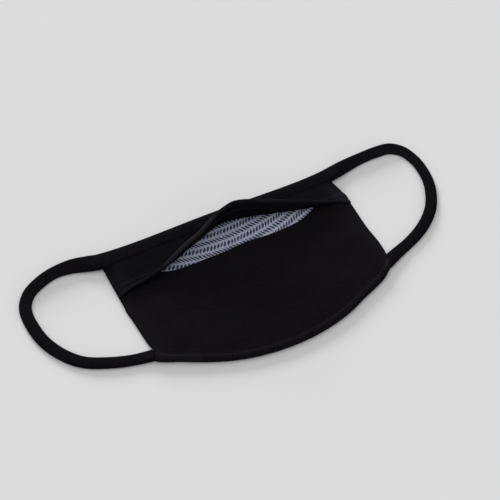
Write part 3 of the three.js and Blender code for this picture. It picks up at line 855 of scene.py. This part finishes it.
RIGHT_LOOP = [
    {"out": 0, "down": 0},
    {"out": 0.12, "down": -0.016},
    {"out": 0.27, "down": -0.031},
    {"out": 0.49, "down": -0.047},
    {"out": 0.7, "down": -0.052},
    {"out": 0.88, "down": -0.035},
    {"out": 1.0, "down": 0.045},
    {"out": 1.045, "down": 0.17},
    {"out": 1.035, "down": 0.29},
    {"out": 0.99, "down": 0.43},
    {"out": 0.9, "down": 0.57},
    {"out": 0.76, "down": 0.71},
    {"out": 0.55, "down": 0.835},
    {"out": 0.32, "down": 0.92},
    {"out": 0, "down": 1},
]


def strap_pale(knit):
    """The nose side of a strap, where its face leans; paler there."""
    return knit.y.ramp(*STRAP_PALER_FROM) * (1 - knit.y.ramp(*STRAP_PALER_TO)) * STRAP_PALER


strap_jersey = jersey("strap_jersey", 0.8, 0.55, 0.62, strap_pale)


def ear_loop(name, side, table):
    """A strap: a rounded oblong section carried along a smooth curve through the table's points.
    The section is |cos|^p across and |sin|^p up, with the signs of cos and sin; it leans towards the chin and
    grows at both ends to the section of the band that it is sewn to. Each ring is let down onto the surface.
    """
    nose_end = (band_inner_y + nose_edge(side * half_width)) / 2
    chin_end = corner_y + STRAP_END_WIDTH / 2
    points = [
        {
            "x": side * (half_width + STRAP_GAP + row["out"] * LOOP_REACH),
            "y": mix(nose_end, chin_end, row["down"]),
            "at": 0.0,
        }
        for row in table
    ]
    for before, point in zip(points, points[1:]):
        point["at"] = before["at"] + np.hypot(point["x"] - before["x"], point["y"] - before["y"])
    total = points[-1]["at"]
    at = total * steps(300, total, STRAP_THICKNESS / 2)
    centre = np.stack([through(points, "x", at), through(points, "y", at), 0 * at], axis=1)
    ahead = np.gradient(centre, at, axis=0)
    ahead[[0, -1]] = [[side, 0, 0], [-side, 0, 0]]
    ahead /= np.linalg.norm(ahead, axis=1, keepdims=True)
    from_end = np.minimum(at, total - at)
    at_nose = at < total / 2
    free = ease(from_end / np.where(at_nose, STRAP_TAPER, STRAP_END))
    lean = STRAP_LEAN * free * (1 - ease(at / total))
    up = np.stack([0 * at, -np.sin(lean), np.cos(lean)], axis=1)
    up -= ahead * (up * ahead).sum(axis=1, keepdims=True)
    up /= np.linalg.norm(up, axis=1, keepdims=True)
    across = np.cross(up, ahead)
    end_width = np.where(at_nose, nose_edge(side * half_width) - band_inner_y, STRAP_END_WIDTH)
    end_height = np.where(at_nose, STRAP_NOSE_HEIGHT, STRAP_CHIN_HEIGHT)
    closing = np.sqrt(1 - (1 - np.clip(from_end / STRAP_CAP, 0, 1)) ** 2)
    closing = mix(STRAP_CAP_SHARE, 1, closing)
    plump = 1 + SLOW_PLUMP * np.sin(at / SLOW_PLUMP_REACH) + QUICK_PLUMP * np.sin(at / QUICK_PLUMP_REACH + 2)
    wide = mix(end_width, STRAP_WIDTH, free) / 2 * closing
    thick = mix(end_height, STRAP_THICKNESS * plump, free) / 2 * closing
    angle = np.linspace(0, 2 * np.pi, STRAP_SIDES + 1)[:-1][None, :]
    cosine, sine = np.cos(angle), np.sin(angle)
    section_x = np.sign(cosine) * np.abs(cosine) ** STRAP_ROUNDING * wide[:, None]
    section_z = np.sign(sine) * np.abs(sine) ** STRAP_ROUNDING * thick[:, None]
    ring = centre[:, None] + section_x[..., None] * across[:, None] + section_z[..., None] * up[:, None]
    ring[..., 2] -= ring[..., 2].min(axis=1, keepdims=True)
    ring = strayed(ring[..., 0], ring[..., 1], ring[..., 2])
    count, sides = ring.shape[:2]
    number = np.arange(count * sides).reshape(count, sides)
    beside = np.roll(number, -1, axis=1)
    quads = np.stack([number[:-1], beside[:-1], beside[1:], number[1:]], axis=2).reshape(-1, 4).tolist()
    caps = [number[0, ::-1].tolist(), number[-1].tolist()]
    round_run = np.cumsum(np.linalg.norm(np.diff(ring, axis=1, append=ring[:, :1]), axis=2), axis=1)
    plan = np.stack([round_run, np.broadcast_to(at[:, None], round_run.shape)], axis=2).reshape(-1, 2)
    return mesh_piece(name, ring.reshape(-1, 3), quads + caps, plan, strap_jersey)


left_strap = ear_loop("ear_strap_left", -1, LEFT_LOOP)
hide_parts("ear_loop_left")
right_strap = ear_loop("ear_strap_right", 1, RIGHT_LOOP)
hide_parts("ear_loop_right")

# The stitching: black thread in short lockstitches, half sunk in the cloth, along the seams that show.
# Each stitch is a small rounded rod, copied along its seam.
STITCH_LENGTH = 2.1 * mm
STITCH_PITCH = 2.9 * mm
FLAP_SEAM_INSET = 0.7 * mm
THREAD_RADIUS = 0.17 * mm
THREAD_SIDES = 6
PLY_PITCH = 0.35
PLY_DEPTH = 0.06 * mm
DEEP_THREAD, BRIGHT_THREAD = (0.003, 0.0027, 0.0033, 1), (0.008, 0.0072, 0.0084, 1)
thread_shader = Shader("black_thread", Roughness=0.7, Specular_IOR_Level=0.15)
twist = ((thread_shader.x + thread_shader.y * 2) * (2 * np.pi / PLY_PITCH)).sine() * 0.5 + 0.5
thread_colour = thread_shader.blend(twist, DEEP_THREAD, BRIGHT_THREAD)
thread = thread_shader.finish(thread_colour, twist, PLY_DEPTH)


def read_line(values, run, at):
    """The rows of a table of points at some lengths along its line."""
    return np.stack([np.interp(at, run, column) for column in values.T], axis=1)


def stitch_seam(name, seam, outward, sink=0.1):
    """Stitches along a seam, a line of points with the way out of the cloth at each. A stitch is a rod of
    round section that shrinks to its ends, laid from its start to its end on the seam.
    """
    run = np.concatenate([[0], np.cumsum(np.linalg.norm(np.diff(seam, axis=0), axis=1))])
    starts = np.arange(STITCH_PITCH / 2, run[-1] - STITCH_LENGTH, STITCH_PITCH)
    head, tail = read_line(seam, run, starts), read_line(seam, run, starts + STITCH_LENGTH)
    out = read_line(outward, run, starts + STITCH_LENGTH / 2)
    out /= np.linalg.norm(out, axis=1, keepdims=True)
    ahead = (tail - head) / np.linalg.norm(tail - head, axis=1, keepdims=True)
    beside = np.cross(ahead, out)
    share = np.array([0, 0.04, 0.14, 0.5, 0.86, 0.96, 1])
    bow = np.sin(np.pi * share) ** 0.5
    angle = np.linspace(0, 2 * np.pi, THREAD_SIDES + 1)[:-1]
    line = head[:, None] + (tail - head)[:, None] * share[None, :, None]
    line = line + out[:, None] * (THREAD_RADIUS * (bow - 1 + sink))[None, :, None]
    spoke = np.cos(angle)[None, :, None] * out[:, None] + np.sin(angle)[None, :, None] * beside[:, None]
    radius = THREAD_RADIUS * np.maximum(bow, 0.05)
    points = line[:, :, None] + spoke[:, None] * radius[None, :, None, None]
    many, rings, sides = points.shape[:3]
    number = np.arange(many * rings * sides).reshape(many, rings, sides)
    beside_number = np.roll(number, -1, axis=2)
    quads = [number[:, :-1], number[:, 1:], beside_number[:, 1:], beside_number[:, :-1]]
    faces = np.stack(quads, axis=3).reshape(-1, 4).tolist()
    faces += number[:, 0].tolist() + number[:, -1, ::-1].tolist()
    place = (starts[:, None, None] + STITCH_LENGTH * share[None, :, None]) * np.ones(sides)
    turn = np.broadcast_to(angle * THREAD_RADIUS, points.shape[:3])
    plan = np.stack([turn, place], axis=3).reshape(-1, 2)
    return mesh_piece(name, points.reshape(-1, 3), faces, plan, thread)


def along_row(middle, thick, row, way=1):
    """A line along one row of a cloth, on its upper side or, with way at -1, on its lower one, and the way
    out of the cloth along it.
    """
    out = facing(middle) * way
    half = np.broadcast_to(thick, middle.shape[:2]) / 2
    surface = middle + out * half[..., None]
    return surface[6:-6, row], out[6:-6, row]


def nearest(values, wanted):
    """The place in a row of values that is nearest to the one wanted."""
    return int(np.abs(values - wanted).argmin())


band_row = nearest(band_run[len(band_run) // 2], BAND_SEAM)
hem_row = nearest(hem_run[len(hem_run) // 2], HEM_SEAM)
flap_row = nearest(flap_run[len(flap_run) // 2], FLAP_HEM - FLAP_SEAM_INSET)
seams = {
    "nose_band_stitches": along_row(band_middle, band_thick + 2 * band_relief, band_row),
    "chin_band_stitches": along_row(hem_middle, EDGE_CLOTH + 2 * hem_relief, hem_row),
    "flap_hem_stitches": along_row(flap_middle, flap_thick, flap_row, -1),
}
stitching = [stitch_seam(name, *seam) for name, seam in seams.items()]

# The cut size of the printed layer, as it lies on the cutting table.
chin_rise = (corner_y - chin_y) / 3
print_area = 2 * print_side * (nose_y - hem_mouth(0) - print_inset - chin_rise)

# The studio: a plain pale table under a pale sky and a broad window behind, seen from the chin side.
FLOOR_HALF = 4.0
TABLE_GREY = (0.8, 0.8, 0.8, 1)
floor_shader = Shader("pale_table", Roughness=1.0, Specular_IOR_Level=0.0)
floor_shader.feed(floor_shader.surface.inputs["Base Color"], TABLE_GREY)
floor_mesh = bpy.data.meshes.new("studio_floor")
floor_corners = [(-FLOOR_HALF, -FLOOR_HALF, 0), (FLOOR_HALF, -FLOOR_HALF, 0)]
floor_corners += [(FLOOR_HALF, FLOOR_HALF, 0), (-FLOOR_HALF, FLOOR_HALF, 0)]
floor_mesh.from_pydata(floor_corners, [], [(0, 1, 2, 3)])
floor_mesh.materials.append(floor_shader.material)
floor = bpy.data.objects.new("studio_floor", floor_mesh)
bpy.context.scene.collection.objects.link(floor)

SKY_STRENGTH = 0.653
WINDOW_STRENGTH = 3.04
WINDOW_AZIMUTH = np.radians(4)
WINDOW_ELEVATION = np.radians(14.5)
WINDOW_WIDTH = np.radians(16)
lamp = bpy.data.lights.new("window_behind", "SUN")
lamp.energy = WINDOW_STRENGTH
lamp.angle = WINDOW_WIDTH
window = bpy.data.objects.new("window_behind", lamp)
level = np.cos(WINDOW_ELEVATION)
towards = (np.sin(WINDOW_AZIMUTH) * level, np.cos(WINDOW_AZIMUTH) * level, np.sin(WINDOW_ELEVATION))
window.location = towards
window.rotation_mode = "QUATERNION"
window.rotation_quaternion = Vector(towards).to_track_quat("Z", "Y")
bpy.context.scene.collection.objects.link(window)

world = bpy.data.worlds.new("studio")
world.use_nodes = True
world.node_tree.nodes["Background"].inputs["Color"].default_value = (1, 1, 1, 1)
world.node_tree.nodes["Background"].inputs["Strength"].default_value = SKY_STRENGTH
bpy.context.scene.world = world
bpy.context.scene.view_settings.view_transform = "Standard"

CAMERA_AZIMUTH = np.radians(-28)
CAMERA_ELEVATION = np.radians(48)
CAMERA_DISTANCE = 0.95
CAMERA_TARGET = Vector((7.8 * mm, 26.3 * mm, 0))
level = np.cos(CAMERA_ELEVATION)
back = (np.sin(CAMERA_AZIMUTH) * level, -np.cos(CAMERA_AZIMUTH) * level, np.sin(CAMERA_ELEVATION))
camera = bpy.data.objects.new("camera", bpy.data.cameras.new("camera"))
camera.data.lens = 85
camera.data.sensor_width = 36
camera.location = CAMERA_TARGET + Vector(back) * CAMERA_DISTANCE
camera.rotation_mode = "QUATERNION"
camera.rotation_quaternion = Vector(back).to_track_quat("Z", "Y")
bpy.context.scene.collection.objects.link(camera)
bpy.context.scene.camera = camera
